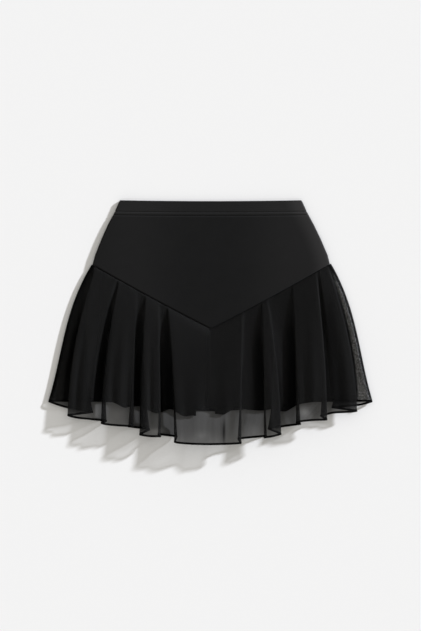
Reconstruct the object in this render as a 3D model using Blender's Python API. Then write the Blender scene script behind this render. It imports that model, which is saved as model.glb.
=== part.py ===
"""A skort laid flat on a surface, front side up.

The frame: the origin lies on the surface under the middle of the garment, +X is the photo's right,
+Y points to the waist and +Z up. The tables give sizes in millimetres, and wall() turns them into
metres. Every piece is a cloth wall: a grid of points on the middle of the cloth, moved half the
cloth's thickness to each side, with its rims closed.
"""

import math
from collections import namedtuple

import bpy
import numpy as np

MM = 0.001

# Cloth and layers, in millimetres
JERSEY = 1.2  # yokes
BAND = 1.5  # folded elastic waistband, one side of the loop
SHORTS = 1.0  # light jersey of the inner shorts
CHIFFON = 1.0  # sheer flounce, as thick as a solid wall of it may be
SEAM_GAP = 0.3  # between pieces that are sewn together
SLANT_GAP = 0.5  # the same, measured upright along the slanted V
LAYER_GAP = 0.3  # between pieces that lie on each other
SIDE_GAP = 0.5  # between the rims of front and back at the side seams, where the walls lean
LEG_GAP = 0.5  # between the legs of the shorts

# The garment's main lengths
WAIST_Y = 203.0  # top edge of the waistband
BAND_DEPTH = 24.5
BAND_SAG = 1.5  # the band's edges dip this much in the middle
BAND_HEIGHT = 6.0  # the flattened loop, both sides and the gap in it
SIDE_HEIGHT = 6.2  # the same below it, where front and back meet at the side seams
SEAM_END_Y = 97.0  # where the yoke's seams meet the sides
POINT_Y = -11.0  # lowest point of the front yoke's V
POINT_SLOPE = 0.51  # rise of the V per length, next to its point
POINT_ROUND = 0.5
BACK_SEAM_Y = 78.0  # the back yoke's seam in the middle
BACK_HEM_Y = -147.3  # the back flounce's hem in the middle
BACK_HEM_SIDE_Y = -131.5
YOKE_CROWN = 2.2  # the front yoke's middle stands this much above its sides
ROLL_WAIST = 20.0  # how far in from the side the front starts to round down, at the waist
ROLL_SEAM = 42.0  # the same at the yoke's seam
SIDE_TURNS = 4  # columns round each half of a side's fold

# The sides from the waist down to the yoke's seam
Side = namedtuple("Side", "y left right")
SIDES = (
    Side(y=203.0, left=-151.5, right=152.5),
    Side(y=181.0, left=-161.0, right=162.5),
    Side(y=163.0, left=-170.8, right=172.3),
    Side(y=140.0, left=-181.2, right=183.5),
    Side(y=112.0, left=-192.3, right=195.6),
    Side(y=97.0, left=-196.4, right=199.4),
)

# The flounce's outer corners, where its side seams end
CORNER_LEFT = (-270.0, -132.0)
CORNER_RIGHT = (270.0, -132.0)
SIDE_STEP = 1.5  # the flounce's sides start this much outside the yoke's
SIDE_FLARE = 0.97  # how early they swing out
FLUTE_FLARE = 0.85  # the same for the flutes

# A flute of the front flounce, from left to right. top: where its side starts on the yoke's seam;
# edge: where that side's outer fold ends at the hem; tuck: how far the cloth goes back under it;
# lift: how high the inner fold stays at the hem; neck_hem and hem: how low the hem hangs at the
# inner and the outer fold; crest: the height of its top.
Flute = namedtuple(
    "Flute",
    "name left_top left_edge left_tuck left_lift left_neck_hem left_hem crest crest_hem "
    "right_hem right_neck_hem right_lift right_tuck right_edge right_top",
)
FLUTES = (
    Flute(
        "outer_left", -191.0, -238.0, 42, 0, -150, -155, 16.2, -160,
        -162, -163, 0, 0, -197.0, -157.0,
    ),
    Flute(
        "inner_left", -151.5, -182.0, 9, 0, -165, -168, 21.5, -172,
        -174, -174, 0, 9, -128.0, -122.3,
    ),
    Flute(
        "left_of_middle", -107.3, -118.0, 17, 0, -179, -187, 24, -190,
        -190, -187, 0, 5, -82.5, -86.5,
    ),
    Flute(
        "middle", -70.7, -60.3, 5, 0, -191, -199, 25, -203,
        -201, -196, 14, 6, 51.5, 54.3,
    ),
    Flute(
        "right_of_middle", 86.0, 89.0, 5, 14, -191, -192, 25, -190,
        -186, -177, 8, 22, 117.7, 94.3,
    ),
    Flute(
        "inner_right", 137.7, 142.5, 8, 0, -170, -167, 23, -163,
        -162, -156, 0, 11, 194.3, 175.2,
    ),
    Flute(
        "outer_right", 181.0, 202.5, 0, 0, -153, -151, 15.4, -150,
        -148, -142, 0, 42, 244.3, 194.5,
    ),
)
FLUTE_RISE = 0.65  # power of the fall below the seam with which a flute's height grows
SHOULDER = 1.2  # a crest's sides lie this much lower than its middle
SHOULDER_RUN = 7.0  # and are full this far inside the fold, at the hem
FOLD_LEAD = 1.5  # width of a fold's start on the seam
TUCK_POWER = 2.1  # how late a tuck grows with the fall
WIDE_TUCK = 30.0  # a tuck wider than this grows earlier, so that it reaches the shorts' side
WIDE_TUCK_POWER = 1.35
FLANK = 6.5  # run of a flute's side that has no tuck, at the hem
CREST_SPAN = 45.0  # one control point of a crest for this much of its width

# Side strips outside the outermost flutes, at the hem
Strip = namedtuple("Strip", "top_x hem_x hem_y rise")
LEFT_STRIP = (Strip(-195.3, -254.0, -138.0, 3.6), Strip(-194.1, -238.0, -143.0, 0.0))
RIGHT_STRIP = (Strip(197.1, 244.0, -139.0, 0.0), Strip(198.3, 255.0, -136.8, 8.0))
SIDE_TOP = 1.1  # the side's upper turn starts this far inside its edge on the seam, and lower

# The inner shorts, one row for each leg
Leg = namedtuple("Leg", "name side waist_out seam_out hem_out hem_out_y hem_in hem_in_y")
LEGS = (
    Leg("shorts_left", -1, 152.0, 179.0, 195.7, -131.3, 24.0, -156.8),
    Leg("shorts_right", 1, 153.0, 182.0, 202.2, -130.2, 7.7, -153.5),
)
CROTCH = (-4.0, -90.0)
PARTING = (-8.0, -142.0)  # the legs lie side by side from the crotch down to here
LEG_CURVE = 6.0  # and part over this length
SKIRT_EASE = 14.0  # the cloth above comes down over this length past an edge below it
HEM_MARGIN = 16.0  # and starts this far past a hem
SIDE_MARGIN = 3.0  # or a side

SHORTS_LEVELS = (0.0, 0.2, 0.4, 0.6, 0.8, 0.88, 0.93, 0.955, 0.975, 1.0)
LEVELS = (0.0, 0.035, 0.09, 0.16, 0.25, 0.35, 0.46, 0.58, 0.70, 0.82, 0.92, 1.0)

JERSEY_BLACK = (0.012, 0.012, 0.013)
CHIFFON_BLACK = (0.009, 0.009, 0.010)


def smooth(value):
    """0 below 0, 1 above 1 and a soft step between them."""
    part = np.clip(value, 0.0, 1.0)
    return part * part * (3.0 - 2.0 * part)


def side_x(y, column):
    """The garment's side at height y, left or right, down to the yoke's seam."""
    rows = sorted(SIDES, key=lambda row: row.y)
    return np.interp(y, [row.y for row in rows], [getattr(row, column) for row in rows])


def waist_edge(x, depth):
    """Height of the band's edge that lies depth below the waist: a shallow sag."""
    half = side_x(WAIST_Y - depth, "right")
    return WAIST_Y - depth - BAND_SAG * (1.0 - np.minimum(1.0, (x / half) ** 2))


def point_seam(x):
    """The V seam: rounded at its point, a little steeper towards the sides."""
    far = np.sqrt(x * x + POINT_ROUND**2) - POINT_ROUND
    end = side_x(SEAM_END_Y, "right")
    full = (SEAM_END_Y - POINT_Y) / (end - POINT_ROUND)
    return POINT_Y + far * (POINT_SLOPE + (full - POINT_SLOPE) * far / end)


def back_seam(x):
    """The back yoke's seam: a shallow curve from side to side."""
    part = np.minimum(1.0, np.abs(x) / side_x(SEAM_END_Y, "right"))
    return BACK_SEAM_Y + (SEAM_END_Y - BACK_SEAM_Y) * part**2


def back_hem(x):
    """The back flounce's hem: lowest in the middle and level from the shorts outwards."""
    part = np.minimum(1.0, np.abs(x) / LEGS[0].hem_out)
    return BACK_HEM_Y + (BACK_HEM_SIDE_Y - BACK_HEM_Y) * 0.5 * (1.0 - np.cos(math.pi * part))


def leg_out(leg, y):
    """How far out a leg of the shorts reaches at height y."""
    heights = (leg.hem_out_y, SEAM_END_Y, WAIST_Y - BAND_DEPTH)
    return np.interp(y, heights, (leg.hem_out, leg.seam_out, leg.waist_out))


def leg_hem(leg, reach):
    """Height of a leg's hem at the distance reach from the garment's middle."""
    return np.interp(reach, (leg.hem_in, leg.hem_out), (leg.hem_in_y, leg.hem_out_y))


def rest_height(x, y):
    """Middle of the front cloth where it lies on the layers under it.

    The surface, then the back where there is one, then the two layers of the shorts. Past the edge
    of a layer the cloth comes down softly.
    """
    height = 0.1 + CHIFFON / 2
    over_back = smooth((y - back_hem(x) + HEM_MARGIN) / SKIRT_EASE + 1.0)
    height = height + (JERSEY + LAYER_GAP) * over_back
    for leg in LEGS:
        reach = x * leg.side
        inside = smooth((leg_out(leg, y) - reach + SIDE_MARGIN) / SKIRT_EASE + 1.0)
        above = smooth((y - leg_hem(leg, reach) + HEM_MARGIN) / SKIRT_EASE + 1.0)
        mine = np.where(reach > 0.0, 1.0, 0.0)
        height = height + 2.0 * (SHORTS + LAYER_GAP) * inside * above * mine
    return height


def yoke_fall(y):
    """Share of the way from the waistband down to the ends of the yoke's seam."""
    waist = WAIST_Y - BAND_DEPTH
    return np.clip((waist - y) / (waist - SEAM_END_Y), 0.0, 1.0)


def loop_height(y):
    """Height of the whole garment at its sides: the band's, then growing to the flounce's."""
    return BAND_HEIGHT + (SIDE_HEIGHT - BAND_HEIGHT) * smooth(yoke_fall(y) / 0.4)


def side_turn(from_edge, y):
    """Half height of the side's fold at a distance inside the cloth's outermost line."""
    radius = (loop_height(y) - JERSEY) / 2
    inside = np.clip(from_edge / radius, 0.0, 1.0)
    return radius * np.sqrt(1.0 - (1.0 - inside) ** 2)


def from_side(x, y):
    """Distance from a point to the outermost line of the yoke's cloth."""
    return np.minimum(x - side_x(y, "left"), side_x(y, "right") - x) - JERSEY / 2


def yoke_height(x, y):
    """Middle of the front yoke: crowned, rounded down to the sides and turned under there."""
    edge = from_side(x, y)
    fall = yoke_fall(y)
    roll = ROLL_WAIST + (ROLL_SEAM - ROLL_WAIST) * fall
    part = 1.0 - np.clip(edge / roll, 0.0, 1.0)
    return loop_height(y) / 2 + side_turn(edge, y) + YOKE_CROWN * fall * (1.0 - part**2)


def yoke_back_height(x, y):
    """Middle of the back yoke: flat on the surface and turned up at the sides."""
    return loop_height(y) / 2 - side_turn(from_side(x, y), y)


def surface_normals(grid, ring, seams):
    """Unit normals of a grid of points, from the differences between neighbours.

    On the rows that are seams they stay in the upright plane along the seam, so that the rims of
    two neighbours keep their gap.
    """
    down = np.gradient(grid, axis=0)
    if ring:
        across = np.roll(grid, -1, axis=1) - np.roll(grid, 1, axis=1)
    else:
        across = np.gradient(grid, axis=1)
    normal = np.cross(down, across)
    for row in seams:
        seam = across[row, :, :2] + (SEAM_GAP / 10, 0.0)
        off_seam = seam[:, ::-1] * (-1.0, 1.0) / np.linalg.norm(seam, axis=1, keepdims=True)
        leaning = (normal[row, :, :2] * off_seam).sum(axis=1, keepdims=True)
        normal[row, :, :2] -= leaning * off_seam
    return normal / np.linalg.norm(normal, axis=2, keepdims=True)


def wall(name, grid, thickness, material, ring=False, seams=(0, -1)):
    """One closed cloth wall round a grid of middle points, rows downwards and columns to the right."""
    rows, columns = grid.shape[:2]
    shift = surface_normals(grid, ring, seams) * thickness / 2
    points = np.concatenate([grid + shift, grid - shift]).reshape(-1, 3) * MM
    index = np.arange(2 * rows * columns).reshape(2, rows, columns)
    front = np.concatenate([index[0], index[0][:, :1]], axis=1) if ring else index[0]
    back = np.concatenate([index[1], index[1][:, :1]], axis=1) if ring else index[1]
    faces = [quads(front), quads(back[:, ::-1])]
    faces.append(strip(back[0], front[0]))
    faces.append(strip(front[-1], back[-1]))
    if not ring:
        faces.append(strip(front[:, 0], back[:, 0]))
        faces.append(strip(back[:, -1], front[:, -1]))
    mesh = bpy.data.meshes.new(name)
    mesh.from_pydata(points.tolist(), [], np.concatenate(faces).tolist())
    mesh.materials.append(material)
    mesh.shade_smooth()
    mesh.set_sharp_from_angle(angle=math.radians(60.0))
    piece = bpy.data.objects.new(name, mesh)
    bpy.context.scene.collection.objects.link(piece)
    return piece


def quads(index):
    """Quads of a grid of point numbers, counter-clockwise when rows run down and columns right."""
    corners = (index[1:, :-1], index[1:, 1:], index[:-1, 1:], index[:-1, :-1])
    return np.stack(corners, axis=-1).reshape(-1, 4)


def strip(first, second):
    """Quads between two equal rows of point numbers."""
    return np.stack((first[:-1], second[:-1], second[1:], first[1:]), axis=-1)


def cloth(name, color, roughness):
    """Plain material of one cloth."""
    material = bpy.data.materials.new(name)
    material.use_nodes = True
    shader = material.node_tree.nodes["Principled BSDF"]
    shader.inputs["Base Color"].default_value = (*color, 1.0)
    shader.inputs["Roughness"].default_value = roughness
    shader.inputs["Metallic"].default_value = 0.0
    return material


def edge_steps(count, squeeze):
    """count + 1 places from -1 to 1, closer together at both ends and in the middle."""
    even = np.linspace(-1.0, 1.0, count + 1)
    return even - squeeze * np.sin(2.0 * math.pi * even) / (2.0 * math.pi)


def panel(left, right, top, bottom, height, columns, rows, squeeze=0.0):
    """Grid of a flat-lying panel between two side lines and two cross lines.

    left and right give x at a height y, top and bottom give y at a place x, height gives z. The
    outermost columns go round the fold at the sides in even turns, up to the gap at the seam.
    """
    radius = (BAND_HEIGHT - JERSEY) / 2
    turn = np.linspace(0.0, math.acos(SIDE_GAP / 2 / radius), SIDE_TURNS + 1)[1:]
    run = edge_steps(columns, squeeze)
    across = np.concatenate([-np.ones(SIDE_TURNS), run, np.ones(SIDE_TURNS)])
    out = np.concatenate([-np.sin(turn)[::-1], 0.0 * run, np.sin(turn)])
    down = np.linspace(0.0, 1.0, rows + 1)[:, None]
    y = top(0.0) + (bottom(0.0) - top(0.0)) * down
    for _ in range(4):
        turned = (loop_height(y) - JERSEY) / 2
        x = np.where(across < 0.0, -left(y) - turned, right(y) - turned) * across + turned * out
        y = top(x) + (bottom(x) - top(x)) * down
    return np.stack((x, y, height(x, y)), axis=-1)


def make_waistband(material):
    """A flattened loop: a racetrack section that runs round from the front to the back."""
    radius = (BAND_HEIGHT - BAND) / 2
    turn = np.linspace(0.0, math.pi, 7)
    run = np.linspace(-1.0, 1.0, 13)[1:-1]
    along = np.concatenate([run, np.ones(7), run[::-1], -np.ones(7)])
    bulge = np.concatenate([run * 0.0, np.sin(turn), run * 0.0, -np.sin(turn)])
    up = np.concatenate([run * 0.0 + 1.0, np.cos(turn), run * 0.0 - 1.0, -np.cos(turn)])
    depths = np.linspace(0.0, BAND_DEPTH, 4)[:, None]
    heights = WAIST_Y - depths
    left = side_x(heights, "left") + BAND / 2 + radius
    right = side_x(heights, "right") - BAND / 2 - radius
    x = (left + right) / 2 + along * (right - left) / 2 + bulge * radius
    y = waist_edge(x, depths)
    z = BAND_HEIGHT / 2 + up * radius + 0.0 * depths
    wall("waistband", np.stack((x, y, z), axis=-1), BAND, material, ring=True)


def make_yokes(material):
    """The front yoke with its V, and the plain back yoke that the garment rests on."""

    def top(x):
        return waist_edge(x, BAND_DEPTH + SEAM_GAP)

    def left(y):
        return side_x(np.maximum(y, SEAM_END_Y), "left") + JERSEY / 2

    def right(y):
        return side_x(np.maximum(y, SEAM_END_Y), "right") - JERSEY / 2

    front = panel(left, right, top, point_seam, yoke_height, columns=40, rows=8, squeeze=0.6)
    wall("yoke_front", front, JERSEY, material)
    back = panel(left, right, top, back_seam, yoke_back_height, columns=24, rows=4)
    wall("yoke_back", back, JERSEY, material)


def make_shorts(leg, material):
    """One leg: a single wall folded at its outer side, its inner edges at the middle seam."""
    down = np.array(SHORTS_LEVELS)[:, None]
    waist = WAIST_Y - BAND_DEPTH - SEAM_GAP - 2.0
    low = JERSEY + LAYER_GAP + SHORTS / 2
    radius = (SHORTS + LAYER_GAP) / 2
    turn = np.linspace(-math.pi / 2, math.pi / 2, 7)
    run = np.linspace(0.0, 1.0, 9)[:-1]
    part = np.concatenate([run, np.ones(7), run[::-1]])
    bulge = np.concatenate([run * 0.0, np.cos(turn), run * 0.0])
    up = np.concatenate([run * 0.0 - 1.0, np.sin(turn), run * 0.0 + 1.0])
    out_y = waist + (leg.hem_out_y - waist) * down
    out_x = leg_out(leg, out_y) - radius - SHORTS / 2
    in_y = waist + (leg.hem_in_y - waist) * down
    middle = np.interp(-in_y, (-waist, -CROTCH[1], -PARTING[1]), (0.0, CROTCH[0], PARTING[0]))
    meeting = middle * leg.side + LEG_GAP / 2
    in_x = meeting + (leg.hem_in - meeting) * smooth((PARTING[1] - in_y) / LEG_CURVE)
    x = in_x + (out_x - in_x) * part + radius * bulge
    y = in_y + (out_y - in_y) * part
    z = low + radius * (1.0 + up) + 0.0 * down
    grid = np.stack((x * leg.side, y, z), axis=-1)
    wall(leg.name, grid if leg.side < 0 else grid[:, ::-1], SHORTS, material)


def make_skirt_back(material):
    """The back flounce, flat on the surface, from the back yoke's seam to its hem."""

    def fall(y):
        return np.clip((SEAM_END_Y - y) / (SEAM_END_Y - CORNER_LEFT[1]), 0.0, 1.0)

    def left(y):
        start = side_x(SEAM_END_Y, "left")
        return start + (CORNER_LEFT[0] - start) * side_spread(fall(y)) + CHIFFON

    def right(y):
        start = side_x(SEAM_END_Y, "right")
        return start + (CORNER_RIGHT[0] - start) * side_spread(fall(y)) - CHIFFON

    def top(x):
        return back_seam(x) - SEAM_GAP

    def height(x, y):
        edge = np.minimum(x - left(y), right(y) - x)
        return SIDE_HEIGHT / 2 - side_turn(edge, y)

    grid = panel(left, right, top, back_hem, height, columns=36, rows=9)
    wall("skirt_back", grid, JERSEY, material, seams=(0,))


def side_spread(fall):
    """How far the flounce's side has swung out at a share of the way down."""
    return fall + SIDE_FLARE * fall * (1.0 - fall) ** 2


def flute_spread(fall):
    """The same for the flutes' folds."""
    return fall + FLUTE_FLARE * fall * (1.0 - fall)


def seam_point(x):
    """Height on the garment and height above the surface of the flounce's top edge at x."""
    y = point_seam(x) - SLANT_GAP
    return y, yoke_height(x, y)


def from_seam(top_x, fall, x, y, z):
    """A control line without its seam's share, which fades with the fall, and its start top_x."""
    seam_y, seam_z = seam_point(top_x)
    near = 1.0 - fall
    return np.stack(np.broadcast_arrays(x, y - seam_y * near, z - seam_z * near, top_x), axis=-1)


def flute_side(flute, side, fall):
    """Control points of one side of a flute on every level, from the valley up to the shoulder.

    A tucked side goes along the floor to the inner fold, back out to the outer fold and over it. A
    plain side only climbs. side is -1 for the left one and 1 for the right one.
    """
    end = "left" if side < 0 else "right"
    top_x, edge = getattr(flute, end + "_top"), getattr(flute, end + "_edge")
    tuck, hem = getattr(flute, end + "_tuck"), getattr(flute, end + "_hem")
    neck_hem = getattr(flute, end + "_neck_hem")
    seam_y, seam_z = seam_point(top_x)
    edge_x = top_x + (edge - top_x) * flute_spread(fall)
    edge_y = seam_y + (hem - seam_y) * fall
    rise = fall**FLUTE_RISE
    shoulder = seam_z + (flute.crest - SHOULDER - seam_z) * rise
    lead = FOLD_LEAD * (1.0 - fall) ** 3
    if tuck:
        power = WIDE_TUCK_POWER if tuck > WIDE_TUCK else TUCK_POWER
        neck_x = edge_x - side * (tuck * fall**power - lead)
    else:
        neck_x = edge_x + side * (FLANK * np.sqrt(fall) + lead)
    neck_top = top_x + side * FOLD_LEAD
    neck_seam_y, neck_seam_z = seam_point(neck_top)
    neck_y = neck_seam_y + (neck_hem - neck_seam_y) * fall
    low = rest_height(neck_x, neck_y) + getattr(flute, end + "_lift") * fall
    lie = neck_seam_z + (low - neck_seam_z) * smooth(fall / 0.16)
    floor = np.minimum(lie, shoulder - 0.1 * fall)
    middle = (floor + shoulder) / 2
    points = [from_seam(neck_top, fall, neck_x, neck_y, floor)]
    if tuck:
        points.append(from_seam(neck_top, fall, neck_x, neck_y, middle))
        points.append(from_seam(top_x, fall, edge_x, edge_y, middle))
    points.append(from_seam(top_x, fall, edge_x, edge_y, shoulder))
    full_top = top_x - side * FOLD_LEAD
    full_y, full_z = seam_point(full_top)
    full_x = edge_x - side * (FOLD_LEAD + (SHOULDER_RUN - FOLD_LEAD) * fall)
    y = full_y + ((hem + flute.crest_hem) / 2 - full_y) * fall
    points.append(from_seam(full_top, fall, full_x, y, full_z + (flute.crest - full_z) * rise))
    return points if side < 0 else points[::-1]


def flute_crest(flute, fall):
    """Control points along a flute's top, between its shoulders."""
    count = max(1, round((flute.right_edge - flute.left_edge) / CREST_SPAN))
    points = []
    for number in range(1, count + 1):
        part = number / (count + 1)
        top_x = flute.left_top + (flute.right_top - flute.left_top) * part
        hem_x = flute.left_edge + (flute.right_edge - flute.left_edge) * part
        seam_y, seam_z = seam_point(top_x)
        x = top_x + (hem_x - top_x) * flute_spread(fall)
        y = seam_y + (flute.crest_hem - seam_y) * fall
        z = seam_z + (flute.crest - seam_z) * fall**FLUTE_RISE
        points.append(from_seam(top_x, fall, x, y, z))
    return points


def side_fold(column, corner, fall):
    """Control points of the fold along the flounce's side, from the seam with the back upwards."""
    out = -1.0 if column == "left" else 1.0
    start = side_x(SEAM_END_Y, column) + out * (SIDE_STEP - JERSEY / 2)
    x = start + (corner[0] - start) * side_spread(fall)
    near = 1.0 - smooth(fall / 0.2)
    seam_y, _ = seam_point(start)
    rim_z = SIDE_HEIGHT / 2 + SIDE_GAP / 2 * (1.0 + near)
    rim = from_seam(start, fall, x, seam_y + (corner[1] - seam_y) * fall, rim_z)
    top_x = start - out * SIDE_TOP
    seam_y, _ = seam_point(top_x)
    y = seam_y + (corner[1] - seam_y) * fall
    top_z = SIDE_HEIGHT - CHIFFON / 2 - SIDE_TOP * near
    top = from_seam(top_x, fall, x + (top_x - start) * near, y, top_z)
    return [rim, top] if column == "left" else [top, rim]


def strip_point(row, fall):
    """Control point of a side strip, which lies low on the back flounce."""
    seam_y, seam_z = seam_point(row.top_x)
    x = row.top_x + (row.hem_x - row.top_x) * flute_spread(fall)
    y = seam_y + (row.hem_y - seam_y) * fall
    low = rest_height(x, y) + row.rise * fall
    return from_seam(row.top_x, fall, x, y, seam_z + (low - seam_z) * smooth(fall / 0.16))


def soft_line(controls, steps):
    """Smooth line along a polygon: it touches the middle of each leg and starts and ends on it.

    controls is (levels, points, values). Each inner point bends one parabola, cut into steps pieces.
    """
    starts = (controls[:, :-1] + controls[:, 1:]) / 2
    starts[:, 0] = controls[:, 0]
    starts[:, -1] = controls[:, -1]
    bends = controls[:, 1:-1, None]
    begin, end = starts[:, :-1, None], starts[:, 1:, None]
    part = (np.arange(steps) / steps)[None, None, :, None]
    curve = (1 - part) ** 2 * begin + 2 * part * (1 - part) * bends + part**2 * end
    flat = curve.reshape(controls.shape[0], -1, controls.shape[2])
    return np.concatenate([flat, controls[:, -1:]], axis=1)


def make_skirt_front(material):
    """The front flounce: flat at the V seam and falling into flutes that lean outwards."""
    fall = np.array(LEVELS)
    lines = side_fold("left", CORNER_LEFT, fall)
    lines += [strip_point(row, fall) for row in LEFT_STRIP]
    for flute in FLUTES:
        lines += flute_side(flute, -1, fall)
        lines += flute_crest(flute, fall)
        lines += flute_side(flute, 1, fall)
    lines += [strip_point(row, fall) for row in RIGHT_STRIP]
    lines += side_fold("right", CORNER_RIGHT, fall)
    sheet = soft_line(np.stack(lines, axis=1), steps=2)
    start = sheet[:, :, 3]
    nearest = np.argmin(np.abs(start[0]))
    sheet[:, nearest, 0] -= start[:, nearest] * (1.0 - fall)
    start[:, nearest] = 0.0
    near = (1.0 - fall)[:, None]
    seam_y, seam_z = seam_point(start)
    y = sheet[:, :, 1] + seam_y * near
    z = sheet[:, :, 2] + seam_z * near
    grid = np.stack((sheet[:, :, 0], y, z), axis=-1)
    wall("skirt_front", grid, CHIFFON, material, seams=(0,))


def main():
    for old in list(bpy.data.objects):
        bpy.data.objects.remove(old)
    jersey = cloth("jersey", JERSEY_BLACK, 0.8)
    band = cloth("elastic_band", JERSEY_BLACK, 0.75)
    lining = cloth("shorts_jersey", JERSEY_BLACK, 0.85)
    chiffon = cloth("chiffon", CHIFFON_BLACK, 0.7)
    make_waistband(band)
    make_yokes(jersey)
    make_skirt_back(chiffon)
    for leg in LEGS:
        make_shorts(leg, lining)
    make_skirt_front(chiffon)


main()
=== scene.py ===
"""The looks of a skort laid flat, front side up: its cloth, seams, hems and stitches.

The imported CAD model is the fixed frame. Each sewn piece of the garment is a thin surface on the
form of its own solid, with the creases of real cloth laid over it. The tables give sizes in
millimetres in the frame's axes: the origin lies on the floor under the middle of the garment, +X is
the photo's right, +Y points to the waist and +Z up. put_mesh() turns them into metres. A pair that
goes into step() says where a soft step begins and how long it is.
"""

import math
from collections import namedtuple

import bpy
import numpy as np
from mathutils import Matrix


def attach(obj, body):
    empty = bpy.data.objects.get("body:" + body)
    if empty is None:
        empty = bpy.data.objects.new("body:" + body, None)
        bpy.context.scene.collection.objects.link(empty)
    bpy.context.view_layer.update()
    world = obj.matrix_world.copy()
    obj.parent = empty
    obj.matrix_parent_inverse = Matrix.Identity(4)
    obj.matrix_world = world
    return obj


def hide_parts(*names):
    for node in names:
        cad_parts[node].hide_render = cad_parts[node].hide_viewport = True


bl_info = {
    "name": "Skort laid flat",
    "version": (1, 0, 0),
    "blender": (4, 5, 0),
    "location": "3D View > Sidebar > Skort",
    "description": "Builds the cloth, seams and hems of a black skort with a sheer flounce",
    "category": "Add Mesh",
}

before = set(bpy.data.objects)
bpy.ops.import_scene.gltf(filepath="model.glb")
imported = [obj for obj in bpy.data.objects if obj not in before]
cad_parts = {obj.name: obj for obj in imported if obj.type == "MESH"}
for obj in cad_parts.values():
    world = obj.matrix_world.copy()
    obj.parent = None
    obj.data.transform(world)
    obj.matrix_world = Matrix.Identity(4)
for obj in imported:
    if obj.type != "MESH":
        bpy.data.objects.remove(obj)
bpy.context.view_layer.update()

MM = 0.001

# How the pieces lie: the room that each cloth's solid takes, and the gaps between them
JERSEY = 1.2
SHORTS = 1.0
CHIFFON = 1.0
SEAM_GAP = 0.3
SLANT_GAP = 0.5
LAYER_GAP = 0.3
SIDE_GAP = 0.5
LEG_GAP = 0.5
FLOOR_GAP = 0.1

# Real thickness of the shown cloth
JERSEY_THICK = 0.7
SHORTS_THICK = 0.55
BAND_THICK = 1.1  # jersey folded round an elastic
RIM_LEAST = 0.01  # square of the share of its thickness that a shell keeps at its rims

# The garment's main lengths
WAIST_Y = 203.0
BAND_DEPTH = 24.5
BAND_SAG = 1.5
BAND_HEIGHT = 6.0
BAND_ROOM = 1.5
SIDE_HEIGHT = 6.2
LOOP_RUN = 0.4  # share of the yoke over which its sides grow from the one height to the other
SEAM_END_Y = 97.0
POINT_Y = -11.0
POINT_SLOPE = 0.51
POINT_ROUND = 0.5
BACK_SEAM_Y = 78.0
BACK_HEM_Y = -147.3
BACK_HEM_SIDE_Y = -131.5
YOKE_CROWN = 2.2
ROLL_WAIST = 20.0
ROLL_SEAM = 42.0
SIDE_TURNS = 8

# The sides from the yoke's seam up to the waist
Side = namedtuple("Side", "y left right")
SIDES = (
    Side(97.0, -196.4, 199.4),
    Side(112.0, -192.3, 195.6),
    Side(140.0, -181.2, 183.5),
    Side(163.0, -170.8, 172.3),
    Side(181.0, -161.0, 162.5),
    Side(203.0, -151.5, 152.5),
)

CORNER_X = 270.0  # where the flounce's hem ends at both sides
CORNER_Y = -132.0
SIDE_STEP = 1.5
SIDE_FLARE = 0.97
FLUTE_FLARE = 0.85

# The side of a flute. top: where it starts on the yoke's seam; edge: where its outer fold ends at
# the hem; tuck: how far the cloth goes back under it; lift: how high the inner fold stays at the
# hem; neck_hem and hem: how low the hem hangs at the inner and the outer fold.
Fold = namedtuple("Fold", "top edge tuck lift neck_hem hem")

# The flutes of the front flounce from left to right: height and hem of the top, then both sides
Flute = namedtuple("Flute", "name crest crest_hem left right")
FLUTES = (
    Flute(
        "outer_left", 16.2, -160,
        Fold(-191.0, -238.0, 42, 0, -150, -155), Fold(-157.0, -197.0, 0, 0, -163, -162),
    ),
    Flute(
        "inner_left", 21.5, -172,
        Fold(-151.5, -182.0, 9, 0, -165, -168), Fold(-122.3, -128.0, 9, 0, -174, -174),
    ),
    Flute(
        "left_of_middle", 24, -190,
        Fold(-107.3, -118.0, 17, 0, -179, -187), Fold(-86.5, -82.5, 5, 0, -187, -190),
    ),
    Flute(
        "middle", 26, -203,
        Fold(-70.7, -60.3, 5, 0, -191, -199), Fold(54.3, 51.5, 6, 14, -194, -201),
    ),
    Flute(
        "right_of_middle", 26, -190,
        Fold(86.0, 89.0, 5, 14, -189.5, -192), Fold(94.3, 117.7, 22, 14, -177, -186),
    ),
    Flute(
        "inner_right", 23, -163,
        Fold(137.7, 142.5, 8, 0, -170, -167), Fold(175.2, 194.3, 11, 10, -156, -162),
    ),
    Flute(
        "outer_right", 15.6, -150,
        Fold(181.0, 202.5, 0, 10, -153, -151), Fold(194.5, 244.3, 42, 6, -142, -148),
    ),
)
FLUTE_RISE = 0.65
SHOULDER = 1.0
SHOULDER_RUN = 7.0
FOLD_LEAD = 1.5
FOLD_ROOM = 0.1  # a fold stays at least so far under the shoulder
FOLD_BEND = 0.7  # and bends at this share of the way up
TUCK_POWER = 2.1
WIDE_TUCK = 30.0
WIDE_TUCK_POWER = 1.35
FLANK = 6.5
CREST_SPAN = 45.0

# Share of the fall over which the cloth comes down to what it rests on
FLOOR_RUN = 0.5
STRIP_RUN = 0.16
SIDE_RUN = 0.2

# Side strips outside the outermost flutes, at the hem
Strip = namedtuple("Strip", "top_x hem_x hem_y rise")
LEFT_STRIP = (Strip(-195.3, -254.0, -138.0, 3.6), Strip(-194.1, -238.0, -143.0, 0.0))
RIGHT_STRIP = (Strip(197.1, 244.0, -139.0, 0.0), Strip(198.3, 255.0, -136.8, 8.0))
SIDE_TOP = 1.1

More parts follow.
